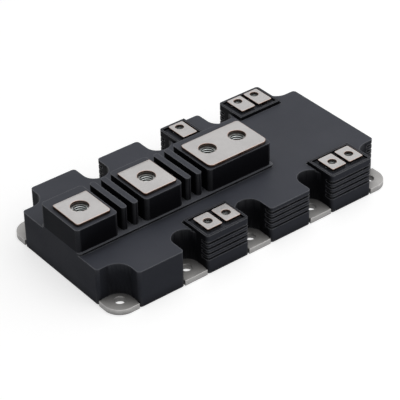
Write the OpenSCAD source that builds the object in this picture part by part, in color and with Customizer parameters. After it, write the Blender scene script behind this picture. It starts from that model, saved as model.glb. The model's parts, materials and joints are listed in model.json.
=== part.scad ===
// High-power half-bridge switching module: moulded housing on a copper base plate.
// Millimetres. Origin at the centre of the base plate's underside, X along the module, Z up.

/* [Base plate] */
// Overall length of the module
module_l = 172; // [150:1:220]
// Overall width of the module
module_w = 89; // [84:1:120]
// Thickness of the base plate
plate_t = 3; // [2:0.5:6]
// Radius of the base plate's corners
plate_r = 9; // [3:0.5:12]
// Distance from the plate's edges to the centres of the fixing holes
hole_in = 8; // [7:0.5:11]
// Diameter of the fixing holes
hole_d = 5.5; // [4.5:0.1:6.6]

/* [Housing] */
// Height of the housing's main top face above the mounting surface
body_h = 20.5; // [20:0.5:28]
// Thickness of the housing's walls
wall = 2.5; // [2.2:0.1:4]
// Half width of the fixing bays, also the radius of their inner end
bay_r = 6.85; // [6:0.05:8]
// Distance from a corner hole's centre to the walls of its corner notch
notch_clear = 5.8; // [5:0.1:7]
// Radius inside the corner notches
notch_r = 7.8; // [3:0.1:9]
// Radius on the upright outer edges of the blocks
edge_r = 1.8; // [1.3:0.1:3]
// Thickness of the skirt that hides the plate's edge
skirt_t = 2; // [1.2:0.1:3]
// Height of the skirt's lower rim above the mounting surface
skirt_lift = 0.3; // [0.1:0.1:1]

/* [Creepage grooves on the outer walls] */
// Number of grooves on each grooved wall
groove_n = 4; // [1:1:4]
// Height of a groove's opening
groove_h = 1.3; // [0.8:0.1:1.8]
// Depth of a groove
groove_d = 1.2; // [0.6:0.1:1.2]
// Distance from one groove to the next
groove_pitch = 2.95; // [2.5:0.05:3.3]
// Depth of the top groove's centre below the housing's main top face
groove_drop = 2.9; // [2.5:0.1:4]
// How far the grooves run round a block's edges
groove_wrap = 4.5; // [3:0.5:6]

/* [Raised bar] */
// Length of the raised bar, from the end wall
bar_len = 116.7; // [112:0.1:125]
// Width of the raised bar
bar_w = 29.8; // [28:0.1:32]
// Offset of the raised bar's middle from the module's centre line
bar_shift = -1.4; // [-3:0.1:1]
// Height of the raised bar above the housing's main top face
bar_h = 14; // [13:0.5:20]
// Length of the first terminal's pad
pad1_l = 23.7; // [23:0.1:26]
// Length of the second terminal's pad
pad2_l = 22; // [21.5:0.1:25]
// Width of the slots between the pads
slot_w = 3.2; // [2.6:0.1:3.4]
// Width of the ribs that stand between the slots
rib_w = 3.2; // [2.6:0.1:3.4]
// How far the ribs' ends stand back from the bar's sides
rib_back = 1.3; // [0.5:0.1:3]
// Radius on the bar's upright edges
bar_r = 2; // [1:0.1:3]
// Width of the ledge round the bar's foot
ledge_w = 1; // [0.6:0.1:2]
// Height of the ledge round the bar's foot
ledge_h = 1.2; // [0.8:0.1:2]

/* [Main terminals] */
// Thickness of the main terminals' sheet
bus_t = 1.5; // [1:0.1:2]
// Width of the first terminal's face, across the bar
face1_w = 21.1; // [21:0.1:22]
// Width of the second terminal's face, across the bar
face2_w = 23.1; // [21:0.1:24]
// Width of the third terminal's face, across the bar
face3_w = 24.4; // [23:0.1:25.5]
// Margin between a terminal face and its pad's ends
face_margin = 1.4; // [0.8:0.1:2]
// Extra margin of the first terminal's face
end_margin = 0.8; // [0:0.1:1]
// Margin between the faces of the first two terminals and the bar's near side
front_margin = 2.4; // [1:0.1:3]
// Margin between the third terminal's face and the bar's near side
front_margin3 = 1; // [0.6:0.1:2]
// Distance from the bar's near side to the screw holes
main_in = 14.3; // [13.8:0.1:14.5]
// Distance between the third terminal's two holes
hole_gap3 = 18.4; // [17.5:0.1:20]
// Diameter of the main terminals' screw holes
main_d = 9; // [8.4:0.1:10]
// Radius on the corners of the first two terminals' faces
face_r = 1.6; // [0.5:0.1:3]
// Radius on the corners of the third terminal's face
face3_r = 3; // [0.5:0.1:4]
// Width of the legs of the first two terminals
leg_w = 12; // [8:0.5:14]
// Width of the third terminal's leg
leg3_w = 20; // [14:0.5:26]
// Width of the rails inside the housing
rail_w = 3.5; // [3:0.1:3.8]
// Width of a rail's feet
foot_w = 3; // [2:0.1:4]

/* [Auxiliary terminals] */
// Height of the rims round the auxiliary terminals above the main top face
rim_h = 1.5; // [1:0.1:2.5]
// Width of the rims
rim_t = 1.3; // [1:0.1:1.8]
// Length of the rims, inwards from the long sides
rim_in = 18.4; // [18:0.1:20]
// Width of the seam groove at the rims' foot
seam_w = 0.7; // [0.4:0.1:1]
// Depth of the seam groove
seam_d = 0.8; // [0.4:0.1:1.2]
// Thickness of the auxiliary terminals' sheet
tab_t = 1; // [0.8:0.1:1.2]
// Gap between the two faces of a pair
tab_gap = 2; // [1.5:0.1:2.5]
// Clearance between a pair's faces and its rim, with the pair in the middle of its block
tab_side = 1.35; // [1.2:0.05:2]
// Offset of a pair from the middle of its block
tab_shift = 1; // [0:0.1:1.2]
// Distance from the long side to the outer edge of the near faces
near_edge = 4.2; // [3:0.1:5]
// Distance from the long side to the holes of the near faces
near_hole = 9.9; // [9:0.1:10.5]
// Length of the near faces
near_len = 11.6; // [11:0.1:12.5]
// Distance from the long side to the outer edge of the far faces
far_edge = 1.7; // [1.5:0.1:2]
// Distance from the long side to the holes of the far faces
far_hole = 5.4; // [5.2:0.1:7]
// Length of the far faces
far_len = 12.8; // [12:0.1:13.5]
// Distance from the start of its block to the single terminal's face
single_in = 4.7; // [3:0.1:6]
// Clearance between the single terminal's face and its rim
single_gap = 1.2; // [0.5:0.1:2]
// Diameter of the auxiliary terminals' screw holes
tab_d = 4.5; // [4.2:0.1:4.8]
// Height of the pedestals that the auxiliary faces lie on
pedestal_h = 0.9; // [0.5:0.1:1.3]
// Width of the auxiliary terminals' legs
pin_w = 3; // [2:0.1:4]

/* [Nuts] */
// Width across flats of the large nuts
nut_af = 13; // [12.5:0.1:13]
// Height of the large nuts
nut_h = 6.5; // [5:0.1:6.8]
// Bore of the large nuts
nut_bore = 6.8; // [6.6:0.1:7]
// Width across flats of the small nuts
small_af = 7; // [6.5:0.1:7]
// Height of the small nuts
small_h = 3.2; // [2.4:0.1:3.4]
// Bore of the small nuts
small_bore = 3.3; // [3.2:0.1:3.5]
// Depth kept free under a large nut for the screw's end
tip_depth = 6; // [3:0.5:6.5]
// Depth kept free under a small nut for the screw's end
small_tip = 4.5; // [2:0.5:4.5]

/* [Circuits] */
// Width of a ceramic substrate
tile_w = 48; // [47.5:0.5:50]
// Gap between one substrate and the next
tile_gap = 4; // [3:0.5:6]
// Clearance between the outer substrates and the housing's end walls
tile_end = 5.5; // [5:0.1:7]
// Thickness of the ceramic
ceramic_t = 0.6; // [0.4:0.1:1]
// Thickness of the copper layers
copper_t = 0.3; // [0.2:0.1:0.4]
// Thickness of the chips
chip_t = 0.3; // [0.2:0.1:0.4]
// Width of an IGBT chip
igbt_l = 8; // [6:0.5:8.5]
// Depth of an IGBT chip
igbt_w = 7; // [5:0.5:7]
// Side of a diode chip
diode_l = 6; // [4:0.5:6]
// Distance from the IGBT chips to the ends of their copper island
chip_end = 2; // [1.5:0.1:3]
// Distance from the gate strips' outer edge to the output rail
phase_in = 6; // [5.5:0.1:7]
// Radius of the bond wires
wire_r = 0.25; // [0.15:0.05:0.3]
// Gap between the tops of the bond wires and the rails above them
wire_gap = 3.9; // [3:0.1:5]

/* [Clearances] */
// Clearance between the plate's edge and the skirt
plate_fit = 0.15; // [0.05:0.05:0.3]
// Clearance round the nuts in their pockets
nut_fit = 0.1; // [0.05:0.05:0.2]
// Clearance round the terminals' legs in their slots
leg_fit = 0.15; // [0.05:0.05:0.3]
// Gap between a nut's top and the terminal above it
nut_gap = 0.3; // [0.1:0.1:0.5]
// Clearance between the gel and what it surrounds
gel_fit = 0.1; // [0.05:0.05:0.2]

/* [Hidden] */
$fn = 64;
eps = 0.01;
half_l = module_l / 2;
half_w = module_w / 2;

// fixing holes: five along each long side
pitch = (module_l - 2 * hole_in) / 4;
hole_y = half_w - hole_in;
bays = [-pitch, 0, pitch];
notch = hole_in + notch_clear;

// blocks between the bays, numbered along +X
block_l = [-half_l + notch, -pitch + bay_r, bay_r, pitch + bay_r];
block_r = [-pitch - bay_r, -bay_r, pitch - bay_r, half_l - notch];

// raised bar, with one pad for each main terminal
gap_l = 3 * slot_w + 2 * rib_w;
pad3_l = bar_len - pad1_l - pad2_l - 2 * gap_l;
pad_l = [pad1_l, pad2_l, pad3_l];
pad_x = [-half_l, -half_l + pad1_l + gap_l, -half_l + pad1_l + pad2_l + 2 * gap_l];
bar_y0 = bar_shift - bar_w / 2;
bar_y1 = bar_shift + bar_w / 2;
bar_top = body_h + bar_h;
ledge_top = body_h + ledge_h;

// main terminals: faces on the pads, legs at the faces' far edges
bus_x = [for (i = [0:2]) pad_x[i] + pad_l[i] / 2];
bus_l = [pad1_l - 2 * face_margin - 2 * end_margin, pad2_l - 2 * face_margin, pad3_l - 2 * face_margin];
bus_y0 = [bar_y0 + front_margin, bar_y0 + front_margin, bar_y0 + front_margin3];
bus_y1 = [bus_y0[0] + face1_w, bus_y0[1] + face2_w, bus_y0[2] + face3_w];
bus_r = [face_r, face_r, face3_r];
bus_leg = [leg_w, leg_w, leg3_w];
main_y = bar_y0 + main_in;
bus_holes = [[bus_x[0]], [bus_x[1]], [bus_x[2] - hole_gap3 / 2, bus_x[2] + hole_gap3 / 2]];
main_holes = [for (row = bus_holes) for (x = row) x];
nut_z = bar_top - nut_gap - nut_h;

// heights inside, from the plate up
circuit_z = plate_t + copper_t + ceramic_t;
circuit_top = circuit_z + copper_t;
chip_top = circuit_top + chip_t;
ceiling = body_h - wall;
rail_gap = bus_t;
upper_rail = ceiling - rail_gap - bus_t;
lower_rail = upper_rail - rail_gap - bus_t;
gel_top = lower_rail - 0.4;

// auxiliary terminals
tab_z = body_h + pedestal_h;
small_z = tab_z - nut_gap - small_h;
aux_ceiling = small_z - small_tip - 1.5;
tab_w = (min([for (i = [1, 3]) block_r[i] - block_l[i]]) - 2 * rim_t - tab_gap - 2 * tab_side) / 2;
tab_pitch = tab_w + tab_gap;
pair_x = [for (i = [1, 3]) (block_l[i] + block_r[i]) / 2 + tab_shift];
single_x = block_l[2] + single_in + tab_w / 2;
single_x1 = single_x + tab_w / 2 + single_gap + rim_t;
near_x = [for (x = pair_x) for (s = [-1, 1]) x + s * tab_pitch / 2];
far_x = [single_x, near_x[2], near_x[3]];

// circuits: four substrates in a row, each with the same islands
tile_l = (module_l - 2 * wall - 2 * tile_end - 3 * tile_gap) / 4;
tiles = [for (i = [0:3]) (i - 1.5) * (tile_l + tile_gap)];
minus_y = [bus_y1[0] - bus_t - rail_w, bus_y1[0] - bus_t];
plus_y = [bus_y1[1] - bus_t, bus_y1[1] - bus_t + rail_w];
strip_y = tile_w / 2 - 4;
phase_y = [-strip_y + phase_in, -strip_y + phase_in + rail_w];
island_gap = 0.8;
upper_chip_y = (plus_y[1] + strip_y - island_gap) / 2;
lower_chip_y = (phase_y[1] + minus_y[0] - island_gap) / 2;
chip_x = tile_l / 2 - 1 - chip_end - igbt_l / 2;
sensor_x = (far_x[1] + far_x[2]) / 2;

// bond wires: one height for all loops, and where each of a column's three begins and ends
wire_h = lower_rail - wire_gap - wire_r - chip_top;
upper_wire = [upper_chip_y - 2.5, minus_y[0] - 0.2 - island_gap - 0.8];
lower_wire = [lower_chip_y + 1, (minus_y[0] + minus_y[1]) / 2];
gate_wire = [lower_chip_y - 2, phase_y[0] - 0.2 - island_gap - 1];

// cavity in the housing
inner_y = half_w - hole_in - bay_r - wall;

// ---- helpers ----

// box between two corners
module box(a, b) {
  translate(a) cube(b - a);
}

// what is cut away to round an upright edge at (x, y); turn 0 has the solid towards +X and +Y
module edge_cut(x, y, turn, r, z0, z1) {
  translate([x, y, 0]) rotate(90 * turn) difference() {
    box([-1, -1, z0 - 1], [r, r, z1 + 1]);
    translate([r, r, z0 - 2]) cylinder(r = r, h = z1 - z0 + 4);
  }
}

// box with rounded upright edges
module round_box(a, b, r) {
  difference() {
    box(a, b);
    edge_cut(a[0], a[1], 0, r, a[2], b[2]);
    edge_cut(b[0], a[1], 1, r, a[2], b[2]);
    edge_cut(b[0], b[1], 2, r, a[2], b[2]);
    edge_cut(a[0], b[1], 3, r, a[2], b[2]);
  }
}

// children drawn for the corner at -X and -Y, moved to the corner at the given signs
module at_corner(sx, sy) {
  mirror([sx > 0 ? 1 : 0, 0, 0]) mirror([0, sy > 0 ? 1 : 0, 0])
    translate([-half_l, -half_w, 0]) children();
}

// hexagon pocket or nut blank with two flats facing along Y
module hexagon(af, h) {
  cylinder(d = af / cos(30), h = h, $fn = 6);
}

// ---- base plate ----

module base_plate() {
  color([0.78, 0.77, 0.74]) difference() {
    round_box([-half_l, -half_w, 0], [half_l, half_w, plate_t], plate_r);
    skirt_recesses();
    for (i = [-2:2], s = [-1, 1])
      translate([i * pitch, s * hole_y, -1]) cylinder(d = hole_d, h = plate_t + 2);
  }
}

// where the plate's edge stands back behind the housing's skirt
module skirt_recesses() {
  t = skirt_t + plate_fit;
  for (i = [0:3], s = [0, 1])
    mirror([0, s, 0]) box([block_l[i] - plate_fit, -half_w - 1, -1], [block_r[i] + plate_fit, -half_w + t, plate_t + 1]);
  for (s = [0, 1])
    mirror([s, 0, 0]) box([-half_l - 1, -half_w + notch - plate_fit, -1], [-half_l + t, half_w - notch + plate_fit, plate_t + 1]);
}

// ---- housing ----

// the lower body's outline with its bays and notches, pulled in all round
module outline(inset, z0, z1) {
  difference() {
    box([-half_l + inset, -half_w + inset, z0], [half_l - inset, half_w - inset, z1]);
    for (x = bays, s = [0, 1]) mirror([0, s, 0]) bay(x, bay_r + inset, z0, z1);
    for (sx = [-1, 1], sy = [-1, 1]) at_corner(sx, sy) corner_notch(inset, z0, z1);
  }
}

// fixing bay on the near side: straight walls that end in a half round about the hole
module bay(x, r, z0, z1) {
  translate([x, -hole_y, z0 - 1]) cylinder(r = r, h = z1 - z0 + 2);
  box([x - r, -half_w - 1, z0 - 1], [x + r, -hole_y, z1 + 1]);
}

module corner_notch(inset, z0, z1) {
  n = notch + inset;
  c = notch - notch_r;
  box([-1, -1, z0 - 1], [n, c, z1 + 1]);
  box([-1, -1, z0 - 1], [c, n, z1 + 1]);
  translate([c, c, z0 - 1]) cylinder(r = notch_r + inset, h = z1 - z0 + 2);
}

// rounds the upright edges of the blocks and of the two end walls
module block_edges(z0, z1) {
  for (i = [0:3]) {
    edge_cut(block_l[i], -half_w, 0, edge_r, z0, z1);
    edge_cut(block_r[i], -half_w, 1, edge_r, z0, z1);
    edge_cut(block_r[i], half_w, 2, edge_r, z0, z1);
    edge_cut(block_l[i], half_w, 3, edge_r, z0, z1);
  }
  edge_cut(-half_l, -half_w + notch, 0, edge_r, z0, z1);
  edge_cut(half_l, -half_w + notch, 1, edge_r, z0, z1);
  edge_cut(half_l, half_w - notch, 2, edge_r, z0, z1);
  edge_cut(-half_l, half_w - notch, 3, edge_r, z0, z1);
}

// outer box of each auxiliary rim, grown sideways and inwards
module rim_boxes(grow, z0, z1) {
  for (i = [1, 3], s = [0, 1]) if (i == 3 || s == 0)
    mirror([0, s, 0]) box([block_l[i] - grow, -half_w - 1, z0], [block_r[i] + grow, -half_w + rim_in + grow, z1]);
  box([block_l[2] - grow, half_w - rim_in - grow, z0], [single_x1 + grow, half_w + 1, z1]);
}

// rims round the auxiliary terminals, open in the middle
module rims() {
  intersection() {
    box([-half_l, -half_w, body_h - 1], [half_l, half_w, body_h + rim_h]);
    rim_boxes(0, body_h - 1, body_h + rim_h);
  }
}

module rim_recesses() {
  for (i = [1, 3], s = [0, 1]) if (i == 3 || s == 0)
    mirror([0, s, 0]) box([block_l[i] + rim_t, -half_w + rim_t, body_h],
      [block_r[i] - rim_t, -half_w + rim_in - rim_t, body_h + rim_h + 1]);
  box([block_l[2] + rim_t, half_w - rim_in + rim_t, body_h],
    [single_x1 - rim_t, half_w - rim_t, body_h + rim_h + 1]);
}

// narrow seam groove in the top face along the foot of each rim
module seam_grooves() {
  difference() {
    rim_boxes(seam_w, body_h - seam_d, body_h + 1);
    rim_boxes(0, body_h - seam_d - 1, body_h + 2);
  }
}

// bar with its three pads, the ribs between them and the ledge round its foot
module raised_bar() {
  for (i = [0:2])
    round_box([pad_x[i], bar_y0, body_h - 1], [pad_x[i] + pad_l[i], bar_y1, bar_top], bar_r);
  for (i = [0, 1], k = [0, 1]) {
    x = pad_x[i] + pad_l[i] + slot_w + k * (slot_w + rib_w);
    round_box([x, bar_y0 + rib_back, body_h - 1], [x + rib_w, bar_y1 - rib_back, bar_top], rib_w * 0.45);
  }
  round_box([-half_l, bar_y0 - ledge_w, body_h - 1],
    [-half_l + bar_len + ledge_w, bar_y1 + ledge_w, ledge_top], bar_r);
}

// horizontal grooves round the outer walls of all blocks but the first pair, and round one end wall
module creepage_grooves() {
  difference() {
    for (k = [0:groove_n - 1]) {
      z = body_h - groove_drop - k * groove_pitch;
      for (i = [1:3], s = [0, 1])
        mirror([0, s, 0]) box([block_l[i] - 1, -half_w - 1, z - groove_h / 2],
          [block_r[i] + 1, -half_w + groove_wrap, z + groove_h / 2]);
      box([half_l - groove_wrap, -half_w + notch - 1, z - groove_h / 2],
        [half_l + 1, half_w - notch + 1, z + groove_h / 2]);
    }
    outline(groove_d, 0, body_h);
  }
}

// space inside the housing; the blocks under auxiliary terminals have a lower ceiling
module cavity(fit, z0, z1) {
  box([-half_l + wall + fit, -inner_y + fit, z0], [half_l - wall - fit, inner_y - fit, z1]);
  for (i = [0:3], s = [0, 1]) {
    low = i == 1 && s == 0 || i == 2 && s == 1 || i == 3;
    mirror([0, s, 0]) box([block_l[i] + wall + fit, -half_w + wall + fit, z0],
      [block_r[i] - wall - fit, -inner_y + fit + 1, low ? min(z1, aux_ceiling) : z1]);
  }
}

// pedestal under an auxiliary face, with near-side sense of Y
module pedestal(x, edge, len) {
  box([x - tab_w / 2 + 0.5, -half_w + edge + 0.5, body_h - 1],
    [x + tab_w / 2 - 0.5, -half_w + edge + len - 0.5, tab_z]);
}

// nut pocket, square well for the screw's end and slot for the leg under an auxiliary face
module tab_cuts(x, edge, hole, len) {
  y = -half_w + hole;
  translate([x, y, small_z]) hexagon(small_af + 2 * nut_fit, tab_z - small_z + 1);
  box([x - tab_d / 2, y - tab_d / 2, small_z - small_tip], [x + tab_d / 2, y + tab_d / 2, small_z + 1]);
  y1 = -half_w + edge + len;
  box([x - pin_w / 2 - leg_fit, y1 - tab_t - leg_fit, aux_ceiling - 1], [x + pin_w / 2 + leg_fit, y1 + leg_fit, tab_z + 1]);
}

module bus_cuts(i) {
  for (x = bus_holes[i]) {
    translate([x, main_y, nut_z]) hexagon(nut_af + 2 * nut_fit, bar_top - nut_z + 1);
    translate([x, main_y, nut_z - tip_depth]) cylinder(d = main_d, h = tip_depth + 1);
  }
  box([bus_x[i] - bus_leg[i] / 2 - leg_fit, bus_y1[i] - bus_t - leg_fit, ceiling - 1],
    [bus_x[i] + bus_leg[i] / 2 + leg_fit, bus_y1[i] + leg_fit, bar_top + 1]);
}

module housing() {
  color([0.13, 0.13, 0.14]) difference() {
    union() {
      difference() {
        union() {
          outline(0, skirt_lift, body_h);
          difference() {
            rims();
            rim_recesses();
          }
        }
        block_edges(skirt_lift, body_h + rim_h);
      }
      raised_bar();
      for (x = near_x) pedestal(x, near_edge, near_len);
      for (x = far_x) mirror([0, 1, 0]) pedestal(x, far_edge, far_len);
    }
    box([-half_l + skirt_t, -half_w + skirt_t, -1], [half_l - skirt_t, half_w - skirt_t, plate_t]);
    cavity(0, plate_t - 0.5, ceiling);
    creepage_grooves();
    seam_grooves();
    for (i = [0:2]) bus_cuts(i);
    for (x = near_x) tab_cuts(x, near_edge, near_hole, near_len);
    for (x = far_x) mirror([0, 1, 0]) tab_cuts(x, far_edge, far_hole, far_len);
  }
}

// ---- main terminals ----

// face on the bar with its screw holes, and the leg folded down from its far edge
module bus_face(i, z_end) {
  top = bar_top + bus_t;
  difference() {
    union() {
      round_box([bus_x[i] - bus_l[i] / 2, bus_y0[i], bar_top], [bus_x[i] + bus_l[i] / 2, bus_y1[i], top], bus_r[i]);
      box([bus_x[i] - bus_leg[i] / 2, bus_y1[i] - bus_t, z_end], [bus_x[i] + bus_leg[i] / 2, bus_y1[i], bar_top + bus_t / 2]);
    }
    for (x = bus_holes[i]) translate([x, main_y, bar_top - 1]) cylinder(d = main_d, h = bus_t + 2);
    fold = bus_t * 0.8;
    translate([bus_x[i], bus_y1[i], top]) rotate([0, 90, 0]) translate([0, 0, -bus_l[i] / 2 - 1])
      difference() {
        translate([-1, -fold, 0]) cube([fold + 1, fold + 1, bus_l[i] + 2]);
        translate([fold, -fold, -1]) cylinder(r = fold, h = bus_l[i] + 4);
      }
  }
}

// rail along the substrates, with a foot on each of them
module rail(x0, x1, y, z) {
  box([x0, y[0], z], [x1, y[1], z + bus_t]);
  for (x = tiles) {
    box([x - foot_w / 2, y[0], circuit_top], [x + foot_w / 2, y[0] + bus_t, z + bus_t / 2]);
    box([x - foot_w / 2, y[0], circuit_top], [x + foot_w / 2, y[1], circuit_top + 1]);
  }
}

module first_terminal() {
  color([0.82, 0.80, 0.76]) {
    bus_face(0, lower_rail);
    rail(bus_x[0] - leg_w / 2, tiles[3] + foot_w / 2, minus_y, lower_rail);
    box([bus_x[0] - leg_w / 2, minus_y[0], lower_rail], [bus_x[0] + leg_w / 2, bus_y1[0], lower_rail + bus_t]);
  }
}

module second_terminal() {
  color([0.82, 0.80, 0.76]) {
    bus_face(1, lower_rail);
    rail(tiles[0] - foot_w / 2, tiles[3] + foot_w / 2, plus_y, lower_rail);
  }
}

module output_terminal() {
  color([0.82, 0.80, 0.76]) {
    bus_face(2, upper_rail);
    box([bus_x[2] - leg3_w / 2, phase_y[0], upper_rail], [bus_x[2] + leg3_w / 2, bus_y1[2], upper_rail + bus_t]);
    rail(tiles[0] - foot_w / 2, tiles[3] + foot_w / 2, phase_y, upper_rail);
  }
}

// ---- auxiliary terminals ----

// face with its screw hole, leg down through the housing and foot on the circuit, on the near side
module tab(x, edge, hole, len) {
  y0 = -half_w + edge;
  y1 = y0 + len;
  color([0.82, 0.80, 0.76]) difference() {
    union() {
      round_box([x - tab_w / 2, y0, tab_z], [x + tab_w / 2, y1, tab_z + tab_t], 0.8);
      box([x - pin_w / 2, y1 - tab_t, circuit_top], [x + pin_w / 2, y1, tab_z + tab_t / 2]);
      box([x - pin_w / 2, y1 - tab_t, circuit_top], [x + pin_w / 2, -strip_y, circuit_top + tab_t]);
    }
    translate([x, -half_w + hole, tab_z - 1]) cylinder(d = tab_d, h = tab_t + 2);
  }
}

module near_tab(i) {
  tab(near_x[i], near_edge, near_hole, near_len);
}

module far_tab(i) {
  mirror([0, 1, 0]) tab(far_x[i], far_edge, far_hole, far_len);
}

// ---- nuts ----

// hexagon nut with chamfered corners
module nut(af, h, bore) {
  r = af / 2;
  c = 0.08 * af;
  difference() {
    intersection() {
      hexagon(af, h);
      rotate_extrude() polygon([[0, 0], [r, 0], [r + c, c / 2], [r + c, h - c / 2], [r, h], [0, h]]);
    }
    translate([0, 0, -1]) cylinder(d = bore, h = h + 2);
  }
}

module large_nuts() {
  color([0.62, 0.62, 0.60])
    for (x = main_holes) translate([x, main_y, nut_z]) nut(nut_af, nut_h, nut_bore);
}

module small_nuts() {
  color([0.62, 0.62, 0.60]) {
    for (x = near_x) translate([x, -half_w + near_hole, small_z]) nut(small_af, small_h, small_bore);
    for (x = far_x) translate([x, half_w - far_hole, small_z]) nut(small_af, small_h, small_bore);
  }
}

// ---- circuits ----

module under_copper(i) {
  color([0.72, 0.45, 0.30])
    box([tiles[i] - tile_l / 2 + 1, -tile_w / 2 + 1, plate_t], [tiles[i] + tile_l / 2 - 1, tile_w / 2 - 1, plate_t + copper_t]);
}

module ceramic(i) {
  color([0.93, 0.93, 0.90])
    box([tiles[i] - tile_l / 2, -tile_w / 2, plate_t + copper_t], [tiles[i] + tile_l / 2, tile_w / 2, circuit_z]);
}

// copper islands on one substrate: supply, return, phase, and split strips for the auxiliary legs
module circuit(i) {
  x0 = tiles[i] - tile_l / 2 + 1;
  x1 = tiles[i] + tile_l / 2 - 1;
  g = island_gap;
  color([0.72, 0.45, 0.30]) {
    box([x0, minus_y[0] - 0.2, circuit_z], [x1, minus_y[1] + 0.2, circuit_top]);
    box([x0, minus_y[1] + 0.2 + g, circuit_z], [x1, strip_y - g, circuit_top]);
    box([x0, phase_y[0] - 0.2, circuit_z], [x1, minus_y[0] - 0.2 - g, circuit_top]);
    for (s = [0, 1]) {
      far = s * (tile_l / 2 - 1 + g / 2);
      box([x0 + far, strip_y, circuit_z], [x0 + far + tile_l / 2 - 1 - g / 2, tile_w / 2 - 1, circuit_top]);
      box([x0 + far, -tile_w / 2 + 1, circuit_z], [x0 + far + tile_l / 2 - 1 - g / 2, phase_y[0] - 0.2 - g, circuit_top]);
    }
  }
}

module chip(x, y, l, w) {
  box([x - l / 2, y - w / 2, circuit_top], [x + l / 2, y + w / 2, chip_top]);
}

module igbt_chips() {
  color([0.30, 0.31, 0.34])
    for (x = tiles, s = [-1, 1], y = [upper_chip_y, lower_chip_y]) chip(x + s * chip_x, y, igbt_l, igbt_w);
}

module diode_chips() {
  color([0.36, 0.36, 0.38])
    for (x = tiles, y = [upper_chip_y, lower_chip_y]) chip(x, y, diode_l, diode_l);
}

// radius of the arc that a loop follows, from its span along Y
function loop_r(ends) = (pow(ends[1] - ends[0], 2) / 4 + wire_h * wire_h) / (2 * wire_h);

// arched wire from a chip at the first end to an island at the second
module wire(x, ends) {
  r = loop_r(ends);
  middle = (ends[0] + ends[1]) / 2;
  turn = ends[1] > ends[0] ? 0 : 180;
  translate([x, middle, chip_top]) rotate(turn) difference() {
    translate([0, 0, wire_h - r]) rotate([90, 0, 90]) rotate_extrude() translate([r, 0]) circle(r = wire_r, $fn = 12);
    box([-1, -2 * r - 1, -2 * r - 1], [1, 0, 0]);
    box([-1, -eps, -2 * r - 1], [1, 2 * r + 1, -chip_t]);
  }
}

// wires of one chip column: upper chip to phase, lower chip to return, gate to its strip
module bond_wires() {
  color([0.85, 0.85, 0.86]) for (t = tiles, s = [-1, 1]) {
    x = t + s * chip_x;
    wire(x - 1.5, upper_wire);
    wire(x + 1.5, lower_wire);
    wire(x, gate_wire);
  }
}

module temperature_sensor() {
  color([0.20, 0.20, 0.20])
    box([sensor_x - 1.6, strip_y + 0.6, circuit_top], [sensor_x + 1.6, strip_y + 2.2, circuit_top + 0.9]);
}

// ---- gel ----

module silicone_gel() {
  f = gel_fit;
  color([0.85, 0.86, 0.84, 0.6]) difference() {
    cavity(f, plate_t, gel_top);
    for (x = tiles) {
      box([x - tile_l / 2 - f, -tile_w / 2 - f, plate_t - 1], [x + tile_l / 2 + f, tile_w / 2 + f, chip_top + f]);
      for (y = [minus_y, plus_y, phase_y]) {
        box([x - foot_w / 2 - f, y[0] - f, plate_t], [x + foot_w / 2 + f, y[0] + bus_t + f, gel_top + 1]);
        box([x - foot_w / 2 - f, y[0] - f, plate_t], [x + foot_w / 2 + f, y[1] + f, circuit_top + 1 + f]);
      }
      for (s = [-1, 1]) wire_space(x + s * chip_x);
    }
    for (x = near_x) tab_space(x, near_edge + near_len);
    for (x = far_x) mirror([0, 1, 0]) tab_space(x, far_edge + far_len);
    box([sensor_x - 2, strip_y, plate_t], [sensor_x + 2, strip_y + 2.8, circuit_top + 1.1]);
  }
}

// room for the wires of one chip column
module wire_space(x) {
  w = wire_r + gel_fit;
  y0 = (gate_wire[0] + gate_wire[1]) / 2 - loop_r(gate_wire) - w;
  y1 = (upper_wire[0] + upper_wire[1]) / 2 + loop_r(upper_wire) + w;
  box([x - 1.5 - w, y0, circuit_top], [x + 1.5 + w, y1, chip_top + wire_h + w]);
}

// room for the leg and foot of an auxiliary terminal whose inner edge is at the given depth
module tab_space(x, depth) {
  f = gel_fit;
  y1 = -half_w + depth;
  box([x - pin_w / 2 - f, y1 - tab_t - f, plate_t + 1 - f], [x + pin_w / 2 + f, y1 + f, gel_top + 1]);
  box([x - pin_w / 2 - f, y1 - tab_t - f, circuit_top - f], [x + pin_w / 2 + f, -strip_y + f, circuit_top + tab_t + f]);
}

base_plate();
housing();
first_terminal();
second_terminal();
output_terminal();
near_tab(0);  // near_middle_tab_left
near_tab(1);  // near_middle_tab_right
near_tab(2);  // near_end_tab_left
near_tab(3);  // near_end_tab_right
far_tab(0);  // far_middle_tab
far_tab(1);  // far_end_tab_left
far_tab(2);  // far_end_tab_right
large_nuts();
small_nuts();
under_copper(0);  // under_copper_1
under_copper(1);  // under_copper_2
under_copper(2);  // under_copper_3
under_copper(3);  // under_copper_4
ceramic(0);  // ceramic_1
ceramic(1);  // ceramic_2
ceramic(2);  // ceramic_3
ceramic(3);  // ceramic_4
circuit(0);  // circuit_1
circuit(1);  // circuit_2
circuit(2);  // circuit_3
circuit(3);  // circuit_4
igbt_chips();
diode_chips();
bond_wires();
temperature_sensor();
silicone_gel();
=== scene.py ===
import json
import math

import bpy
from mathutils import Matrix, Vector


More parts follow.
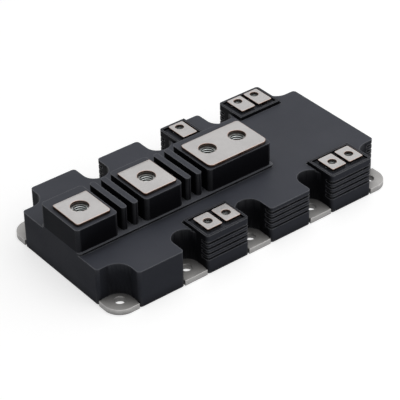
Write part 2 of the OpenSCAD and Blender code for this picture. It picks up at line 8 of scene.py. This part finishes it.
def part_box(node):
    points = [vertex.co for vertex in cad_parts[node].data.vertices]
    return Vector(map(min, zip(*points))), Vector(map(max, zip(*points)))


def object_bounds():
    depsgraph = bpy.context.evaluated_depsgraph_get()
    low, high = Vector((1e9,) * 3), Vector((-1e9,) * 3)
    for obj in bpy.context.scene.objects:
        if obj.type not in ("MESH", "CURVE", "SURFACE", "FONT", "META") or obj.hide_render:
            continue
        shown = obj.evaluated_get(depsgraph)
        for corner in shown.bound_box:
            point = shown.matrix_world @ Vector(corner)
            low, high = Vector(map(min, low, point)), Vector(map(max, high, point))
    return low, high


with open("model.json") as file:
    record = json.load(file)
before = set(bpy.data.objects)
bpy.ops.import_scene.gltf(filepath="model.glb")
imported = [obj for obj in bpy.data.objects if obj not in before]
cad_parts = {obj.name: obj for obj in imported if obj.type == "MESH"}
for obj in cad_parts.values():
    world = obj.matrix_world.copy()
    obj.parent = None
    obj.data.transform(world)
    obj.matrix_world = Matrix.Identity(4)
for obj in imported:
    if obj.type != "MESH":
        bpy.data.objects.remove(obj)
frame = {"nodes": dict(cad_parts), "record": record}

NODES = frame["nodes"]
BOX_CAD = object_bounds()

# Heights of the housing's steps above the mounting face, and the width of a shade's border at a step
LEDGE_TOP = 0.0217
PAD_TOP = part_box("housing")[1][2]
BLUR = 0.0001

# Colours: black plastic in its common tones, with painted shade, a painted ledge highlight and edge wear with
# painted highlight; nickel plating; copper with painted shade on the terminals' sides and painted highlight
# on their edges; painted highlight on the plate's sides and edges; the nuts' steel, with painted shade in the
# thread roots and the holes
PLASTIC_PAINTED_SHADE = (0.004, 0.004, 0.005)
PLASTIC_DARK = (0.040, 0.043, 0.054)
PLASTIC_BODY = (0.044, 0.047, 0.056)
PLASTIC_PALE = (0.049, 0.052, 0.065)
PLASTIC_FIBRE = (0.075, 0.079, 0.088)
PLASTIC_LEDGE_HIGHLIGHT = (0.085, 0.088, 0.100)
PLASTIC_WEAR_HIGHLIGHT = (0.15, 0.155, 0.17)
TERMINAL_NICKEL = (0.46, 0.448, 0.443)
PLATE_NICKEL = (0.46, 0.45, 0.44)
PLATE_EDGE_HIGHLIGHT = (0.62, 0.61, 0.60)
COPPER_EDGE_HIGHLIGHT = (0.60, 0.32, 0.21)
COPPER_SIDE_SHADE = (0.072, 0.038, 0.025)
STEEL = (0.60, 0.60, 0.57)
THREAD_ROOT_SHADE = (0.26, 0.28, 0.28)
THREAD_CREST = (0.60, 0.62, 0.61)
NUT_HOLE_SHADE = (0.02, 0.025, 0.027)

# Thread pitches of the large and small nuts
LARGE_PITCH = 0.00125
SMALL_PITCH = 0.0007

# Rounds on the edges of the housing, the base plate and the bent terminals
HOUSING_ROUND = 0.00035
PLATE_ROUND = 0.0003
SHEET_ROUND = 0.0002

# Studio sweep: reach in front, behind and to each side, height, radius of the turn, and its heading
SWEEP_FRONT, SWEEP_BACK, SWEEP_SIDE = 1.6, 1.5, 2.56
SWEEP_RISE, SWEEP_RADIUS, SWEEP_STEPS = 1.4, 0.5, 12
SWEEP_HEADING = math.radians(-37.5)
FLOOR_DROP = 0.0002
FLOOR_GREY, FLOOR_GLOW = 0.55, 0.63
WORLD_FILL, WORLD_SEEN = 0.14, 1.0

# Softbox above and in front of the object's right end, aimed at its middle
LAMP_PLACE = Vector((0.42, -0.38, 1.25))
LAMP_WIDTH, LAMP_POWER = 2.8, 27.0

# The eye's direction, distance, aim and roll, and its lens
EYE_AZIMUTH, EYE_ELEVATION, EYE_ROLL = math.radians(-127.46), math.radians(34.99), math.radians(-1.38)
EYE_DISTANCE = 0.862
EYE_AIM = Vector((-0.0099, -0.0105, 0.015))
SENSOR_WIDTH, LENS = 36, 159.0

# ---------------------------------------------------------------- node helpers


def shade(color, factor):
    return tuple(c * factor for c in color)


class Shader:
    """A material with a Principled shader and short calls for the nodes that feed it."""

    def __init__(self, name, color, metallic=0.0, roughness=0.5):
        self.material = bpy.data.materials.new(name)
        self.material.use_nodes = True
        self.tree = self.material.node_tree
        self.bsdf = self.tree.nodes["Principled BSDF"]
        self.bsdf.inputs["Base Color"].default_value = (*color, 1)
        self.bsdf.inputs["Metallic"].default_value = metallic
        self.bsdf.inputs["Roughness"].default_value = roughness
        self.coord = self.tree.nodes.new("ShaderNodeTexCoord").outputs["Object"]

    def feed(self, socket, value):
        """Links an output to a socket, or sets the socket to a number or a colour."""
        if isinstance(value, bpy.types.NodeSocket):
            self.tree.links.new(value, socket)
        else:
            socket.default_value = value

    def node(self, kind, **inputs):
        n = self.tree.nodes.new(kind)
        for key, value in inputs.items():
            self.feed(n.inputs[key.replace("_", " ")], value)
        return n

    def noise(self, scale, detail=3.0, rough=0.55, stretch=(1, 1, 1)):
        """Noise in the frame's metres, squeezed along each axis by stretch."""
        place = self.node("ShaderNodeMapping", Vector=self.coord, Scale=stretch).outputs["Vector"]
        n = self.node("ShaderNodeTexNoise", Vector=place, Scale=scale, Detail=detail, Roughness=rough)
        return n.outputs["Fac"]

    def remap(self, value, lo, hi, to_lo=0.0, to_hi=1.0):
        n = self.node("ShaderNodeMapRange", From_Min=lo, From_Max=hi, To_Min=to_lo, To_Max=to_hi)
        self.feed(n.inputs["Value"], value)
        return n.outputs["Result"]

    def math(self, op, a, b=0.0):
        n = self.tree.nodes.new("ShaderNodeMath")
        n.operation = op
        self.feed(n.inputs[0], a)
        self.feed(n.inputs[1], b)
        return n.outputs["Value"]

    def times(self, a, b):
        return self.math("MULTIPLY", a, b)

    def plus(self, a, b):
        return self.math("ADD", a, b)

    def mix(self, factor, a, b):
        """Colour a where factor is 0 and colour b where it is 1."""
        n = self.tree.nodes.new("ShaderNodeMix")
        n.data_type = "RGBA"
        factor_in, color_a, color_b = n.inputs[0], n.inputs[6], n.inputs[7]
        self.feed(factor_in, factor)
        for socket, value in ((color_a, a), (color_b, b)):
            self.feed(socket, (*value, 1) if isinstance(value, tuple) else value)
        return n.outputs[2]

    def true_normal(self):
        return self.tree.nodes.new("ShaderNodeNewGeometry").outputs["True Normal"]

    def normal_z(self):
        """Upward part of the surface's own normal."""
        return self.node("ShaderNodeSeparateXYZ", Vector=self.true_normal()).outputs["Z"]

    def height(self):
        """Height above the mounting face."""
        return self.node("ShaderNodeSeparateXYZ", Vector=self.coord).outputs["Z"]

    def above(self, level, blur):
        """0 below a height and 1 above it."""
        return self.remap(self.height(), level, level + blur)

    def edges(self, radius):
        """1 on sharp edges, 0 on open faces, from how far the rounded normal leaves the true one."""
        bevel = self.node("ShaderNodeBevel", Radius=radius)
        bevel.samples = 4
        dot = self.tree.nodes.new("ShaderNodeVectorMath")
        dot.operation = "DOT_PRODUCT"
        self.feed(dot.inputs[0], bevel.outputs["Normal"])
        self.feed(dot.inputs[1], self.true_normal())
        return self.remap(dot.outputs["Value"], 0.995, 0.85)

    def shelter(self, reach, own=False):
        """Ambient occlusion, which the materials use for painted shade: 1 on open faces, towards 0 deep in
        slots and corners. With own, only this piece shelters.
        """
        n = self.node("ShaderNodeAmbientOcclusion", Distance=reach)
        n.samples = 8
        n.only_local = own
        return n.outputs["AO"]

    def color(self, out):
        self.feed(self.bsdf.inputs["Base Color"], out)

    def roughness(self, out):
        self.feed(self.bsdf.inputs["Roughness"], out)

    def bump(self, *layers):
        """Bump from (height, distance in metres) layers, one on top of the other."""
        below = None
        for height, distance in layers:
            n = self.node("ShaderNodeBump", Height=height, Distance=distance, Strength=1.0)
            if below:
                self.feed(n.inputs["Normal"], below)
            below = n.outputs["Normal"]
        self.feed(self.bsdf.inputs["Normal"], below)


# ---------------------------------------------------------------- materials


def moulded_plastic():
    """Black glass-filled plastic: satin tops, duller walls, faint flow marks, edge wear with a painted
    highlight, and painted shade on walls, in recesses and on the raised parts.
    """
    s = Shader("moulded_black", PLASTIC_BODY)
    s.bsdf.inputs["Specular IOR Level"].default_value = 0.2
    upward = s.remap(s.normal_z(), 0.2, 0.9)
    slots = s.shelter(0.006)
    edge = s.edges(0.0009)

    flow = s.remap(s.noise(26, 4, 0.6, (0.5, 1, 1)), 0.35, 0.7)
    fibres = s.remap(s.noise(2600, 2), 0.62, 0.80, 0.0, 0.35)
    tint = s.mix(fibres, s.mix(flow, PLASTIC_DARK, PLASTIC_PALE), PLASTIC_FIBRE)

    # Painted shade: walls are darker than tops, slots and corners darker, and all that stands over the ledge
    # is darker still, but for the pads' tops
    raised = s.above(LEDGE_TOP + BLUR, BLUR)
    pad_top = s.times(s.above(PAD_TOP - 4 * BLUR, 2 * BLUR), upward)
    raised_painted_shade = s.times(raised, s.remap(pad_top, 0, 1, 1.0, 0.0))
    wall = s.remap(s.shelter(0.025, own=True), 0.78, 0.985, 0.05, 0.72)
    light = s.times(s.math("MAXIMUM", upward, wall), s.remap(slots, 0.40, 0.97, 0.12, 1.0))
    light = s.times(light, s.remap(raised_painted_shade, 0, 1, 1.0, 0.40))
    tint = s.mix(light, PLASTIC_PAINTED_SHADE, tint)

    # Painted highlight: the top of the ledge round the bar's foot is painted paler, except inside the slots
    over_deck = s.above(LEDGE_TOP - 4 * BLUR, 2 * BLUR)
    ledge = s.times(s.times(over_deck, s.remap(raised, 0, 1, 1.0, 0.0)), upward)
    tint = s.mix(s.times(ledge, s.remap(slots, 0.30, 0.52, 0.0, 0.9)), tint, PLASTIC_LEDGE_HIGHLIGHT)

    # Edges painted paler in noisy patches: partly edge wear, partly painted highlight
    wear_and_highlight = s.times(edge, s.remap(s.noise(90, 4), 0.35, 0.7, 0.15, 0.60))
    s.color(s.mix(wear_and_highlight, tint, PLASTIC_WEAR_HIGHLIGHT))
    sheen = s.times(s.remap(upward, 0, 1, 0.035, 0.17), s.remap(raised_painted_shade, 0, 1, 1.0, 0.5))
    s.feed(s.bsdf.inputs["Specular IOR Level"], s.plus(sheen, s.times(edge, 0.40)))
    grain = s.noise(1900, 3, 0.65)
    smear = s.noise(55, 5, 0.6, (1, 0.6, 1))
    fine = s.plus(s.remap(grain, 0.3, 0.7, 0.44, 0.56), s.remap(smear, 0.35, 0.7, -0.05, 0.05))
    s.roughness(s.plus(fine, s.remap(upward, 0, 1, 0.04, 0.0)))
    s.bump((grain, 0.00003), (s.noise(160, 3), 0.00004))
    return s.material


def nickel_sheet(name, color, edge_color, side_color, rough, lay, metallic=1.0):
    """Nickel-plated copper strip: rolling lines along the lay, dull blotches, upright sides and edges in the
    colours given, and painted shade near walls and in holes. On the terminals the sides are copper with
    painted shade and the edges copper with painted highlight; on the plate both are painted highlight.
    """
    s = Shader(name, color, metallic, rough)
    blotch = s.remap(s.noise(70, 4, 0.6), 0.3, 0.72)
    lines = s.noise(420, 3, 0.7, lay)
    body = s.mix(blotch, shade(color, 0.86), shade(color, 1.05))
    body = s.mix(s.remap(lines, 0.55, 0.75, 0.0, 0.25), body, shade(color, 0.75))
    # Upright sides take side_color, broken by noise: painted shade on the terminals, painted highlight on the
    # plate
    upright = s.remap(s.math("ABSOLUTE", s.normal_z()), 0.75, 0.35)
    painted_sides = s.times(upright, s.remap(s.noise(240, 4), 0.30, 0.62, 0.75, 1.0))
    # Edges take edge_color: copper with painted highlight on the terminals, painted highlight on the plate
    lip = s.times(s.edges(0.0005), s.remap(s.noise(300, 4), 0.30, 0.62, 0.55, 1.0))
    body = s.mix(lip, s.mix(painted_sides, body, side_color), edge_color)
    # Painted shade: darker near walls and inside holes
    s.color(s.mix(s.remap(s.shelter(0.012), 0.35, 0.90, 0.30, 1.0), shade(color, 0.05), body))
    drawn = s.remap(lines, 0.3, 0.75, rough - 0.05, rough + 0.10)
    s.roughness(s.plus(drawn, s.remap(blotch, 0, 1, 0.05, -0.04)))
    s.bump((lines, 0.000012), (s.noise(1500, 2), 0.000008))
    return s.material


def plain_metal(name, color, rough):
    """Bare or plated metal with fine grain and slight staining."""
    s = Shader(name, color, 1.0, rough)
    stain = s.remap(s.noise(110, 4), 0.35, 0.7)
    s.color(s.mix(stain, shade(color, 0.82), color))
    fine = s.noise(900, 3, 0.6)
    s.roughness(s.remap(fine, 0.3, 0.7, rough - 0.08, rough + 0.10))
    s.bump((fine, 0.00001))
    return s.material


def threaded_steel(name, pitch):
    """Zinc-plated nut: plain grain, with the turns of the thread as bands along the axis, painted shade in
    the roots and painted shade deep in the hole.
    """
    s = Shader(name, STEEL, 1.0, 0.32)
    fine = s.noise(900, 3, 0.6)
    s.roughness(s.remap(fine, 0.3, 0.7, 0.26, 0.42))
    # Painted shade: the thread's roots are darker than its crests
    turns = s.remap(s.math("SINE", s.times(s.height(), 2 * math.pi / pitch)), -1, 1)
    bands = s.mix(turns, THREAD_ROOT_SHADE, THREAD_CREST)
    # Painted shade: darker deep in the hole
    s.color(s.mix(s.remap(s.shelter(0.006), 0.10, 0.60, 0.35, 1.0), NUT_HOLE_SHADE, bands))
    upright = s.remap(s.math("ABSOLUTE", s.normal_z()), 0.6, 0.3)
    s.bump((s.times(turns, upright), 0.30 * pitch), (fine, 0.00001))
    return s.material


def dielectric(name, color, rough, spread=0.9):
    """Ceramic, silicone or resin with slight mottling."""
    s = Shader(name, color, roughness=rough)
    mottle = s.remap(s.noise(130, 4), 0.35, 0.7)
    s.color(s.mix(mottle, shade(color, spread), color))
    fine = s.noise(700, 3)
    s.roughness(s.remap(fine, 0.3, 0.7, rough - 0.08, rough + 0.08))
    s.bump((fine, 0.000012))
    return s.material


# Finishes by material slot, with the two kinds of nut named by their node
FINISH = {
    "housing_plastic": moulded_plastic(),
    # Terminals: copper sides with painted shade, copper edges with painted highlight
    "terminal_nickel": nickel_sheet(
        "terminal_nickel_fine", TERMINAL_NICKEL, COPPER_EDGE_HIGHLIGHT, COPPER_SIDE_SHADE, rough=0.36, lay=(1, 9, 9)),
    # Plate: sides and edges with painted highlight
    "plate_nickel": nickel_sheet(
        "plate_nickel_fine", PLATE_NICKEL, PLATE_EDGE_HIGHLIGHT, PLATE_EDGE_HIGHLIGHT, rough=0.50, lay=(7, 1, 7), metallic=0.55),
    "large_nuts": threaded_steel("large_thread", LARGE_PITCH),
    "small_nuts": threaded_steel("small_thread", SMALL_PITCH),
    "copper": plain_metal("copper_fine", (0.72, 0.40, 0.25), 0.34),
    "ceramic": dielectric("ceramic_fine", (0.86, 0.86, 0.83), 0.5, 0.95),
    "silicon": plain_metal("silicon_fine", (0.32, 0.33, 0.37), 0.22),
    "wire_aluminium": plain_metal("wire_fine", (0.82, 0.82, 0.83), 0.28),
    "sensor_black": dielectric("sensor_fine", (0.05, 0.05, 0.05), 0.5),
    "gel": dielectric("gel_fine", (0.62, 0.64, 0.61), 0.28, 0.95),
}
for entry in frame["record"]["subparts"]:
    for place in NODES[entry["node"]].material_slots:
        place.material = FINISH.get(entry["node"]) or FINISH[entry["material_slot"]]


# ---------------------------------------------------------------- softened edges


def soften(name, width):
    """Breaks a CAD node's sharp edges with a small round, as moulding and punching leave them."""
    node = NODES[name]
    join = node.modifiers.new("join", "WELD")
    join.merge_threshold = 0.00001
    flat = node.modifiers.new("flat", "DECIMATE")
    flat.decimate_type = "DISSOLVE"
    flat.angle_limit = math.radians(0.4)
    rounding = node.modifiers.new("rounding", "BEVEL")
    rounding.width = width
    rounding.segments = 2
    rounding.limit_method = "ANGLE"
    rounding.angle_limit = math.radians(35)
    rounding.use_clamp_overlap = True
    rounding.harden_normals = True


soften("housing", HOUSING_ROUND)
soften("base_plate", PLATE_ROUND)
for name in NODES:
    if name.endswith("_terminal") or "_tab" in name:
        soften(name, SHEET_ROUND)


# ---------------------------------------------------------------- floor, light, camera


def background_rays(tree):
    """1 for the rays that show the background: camera, glossy and transmitted ones. 0 for the rest."""
    path = tree.nodes.new("ShaderNodeLightPath")
    rays = path.outputs["Is Camera Ray"]
    for kind in ("Is Glossy Ray", "Is Transmission Ray"):
        either = tree.nodes.new("ShaderNodeMath")
        either.operation = "MAXIMUM"
        tree.links.new(rays, either.inputs[0])
        tree.links.new(path.outputs[kind], either.inputs[1])
        rays = either.outputs[0]
    return rays


def floor_material():
    """Matt pale grey that shows as white to the background rays and keeps the object's shadow."""
    material = bpy.data.materials.new("studio_floor")
    material.use_nodes = True
    tree = material.node_tree
    bsdf = tree.nodes["Principled BSDF"]
    bsdf.inputs["Roughness"].default_value = 0.9
    bsdf.inputs["Specular IOR Level"].default_value = 0.0
    bsdf.inputs["Base Color"].default_value = (FLOOR_GREY, FLOOR_GREY, FLOOR_GREY, 1)
    bsdf.inputs["Emission Color"].default_value = (1, 1, 1, 1)
    glow = tree.nodes.new("ShaderNodeMath")
    glow.operation = "MULTIPLY"
    glow.inputs[1].default_value = FLOOR_GLOW
    tree.links.new(background_rays(tree), glow.inputs[0])
    tree.links.new(glow.outputs[0], bsdf.inputs["Emission Strength"])
    return material


def studio_floor():
    """Pale seamless sweep: a floor that turns up into a wall behind the object."""
    turn_start = SWEEP_BACK - SWEEP_RADIUS
    profile = [(-SWEEP_FRONT, 0.0), (0.0, 0.0), (turn_start, 0.0)]
    for i in range(1, SWEEP_STEPS + 1):
        a = math.pi / 2 * i / SWEEP_STEPS
        profile.append((turn_start + SWEEP_RADIUS * math.sin(a), SWEEP_RADIUS - SWEEP_RADIUS * math.cos(a)))
    profile.append((SWEEP_BACK, SWEEP_RISE))
    verts = [(x, y, z) for x in (-SWEEP_SIDE, SWEEP_SIDE) for y, z in profile]
    n = len(profile)
    faces = [(i, i + 1, n + i + 1, n + i) for i in range(n - 1)]
    mesh = bpy.data.meshes.new("studio_floor")
    mesh.from_pydata(verts, [], faces)
    mesh.polygons.foreach_set("use_smooth", [True] * len(faces))
    mesh.materials.append(floor_material())
    floor = bpy.data.objects.new("studio_floor", mesh)
    floor.rotation_euler = (0, 0, SWEEP_HEADING)
    floor.location = (0, 0, BOX_CAD[0][2] - FLOOR_DROP)
    bpy.context.collection.objects.link(floor)


def studio_world():
    """White to the background rays, and a faint even fill for the rest."""
    world = bpy.data.worlds.new("studio")
    bpy.context.scene.world = world
    world.use_nodes = True
    tree = world.node_tree
    background = tree.nodes["Background"]
    background.inputs["Color"].default_value = (1, 1, 1, 1)
    level = tree.nodes.new("ShaderNodeMapRange")
    level.inputs["To Min"].default_value = WORLD_FILL
    level.inputs["To Max"].default_value = WORLD_SEEN
    tree.links.new(background_rays(tree), level.inputs["Value"])
    tree.links.new(level.outputs["Result"], background.inputs["Strength"])


def softbox():
    """One large square lamp, aimed at the object's middle."""
    data = bpy.data.lights.new("key_softbox", "AREA")
    data.shape = "RECTANGLE"
    data.size, data.size_y = LAMP_WIDTH, LAMP_WIDTH
    data.energy = LAMP_POWER
    lamp = bpy.data.objects.new("key_softbox", data)
    lamp.location = LAMP_PLACE
    lamp.rotation_euler = (-LAMP_PLACE).to_track_quat("-Z", "Y").to_euler()
    bpy.context.collection.objects.link(lamp)


def photo_camera():
    """Camera at the photograph's viewing angle."""
    flat = math.cos(EYE_ELEVATION)
    back = Vector((flat * math.cos(EYE_AZIMUTH), flat * math.sin(EYE_AZIMUTH), math.sin(EYE_ELEVATION)))
    right = Vector((0, 0, 1)).cross(back).normalized()
    up = back.cross(right)
    x = math.cos(EYE_ROLL) * right + math.sin(EYE_ROLL) * up
    y = -math.sin(EYE_ROLL) * right + math.cos(EYE_ROLL) * up
    data = bpy.data.cameras.new("photo_camera")
    data.sensor_width = SENSOR_WIDTH
    data.lens = LENS
    data.clip_start, data.clip_end = 0.05, 20
    cam = bpy.data.objects.new("photo_camera", data)
    turn = Matrix((x, y, back)).transposed().to_4x4()
    cam.matrix_world = Matrix.Translation(EYE_AIM + back * EYE_DISTANCE) @ turn
    bpy.context.collection.objects.link(cam)
    bpy.context.scene.camera = cam


studio_floor()
studio_world()
softbox()
photo_camera()
bpy.context.scene.view_settings.view_transform = "Standard"
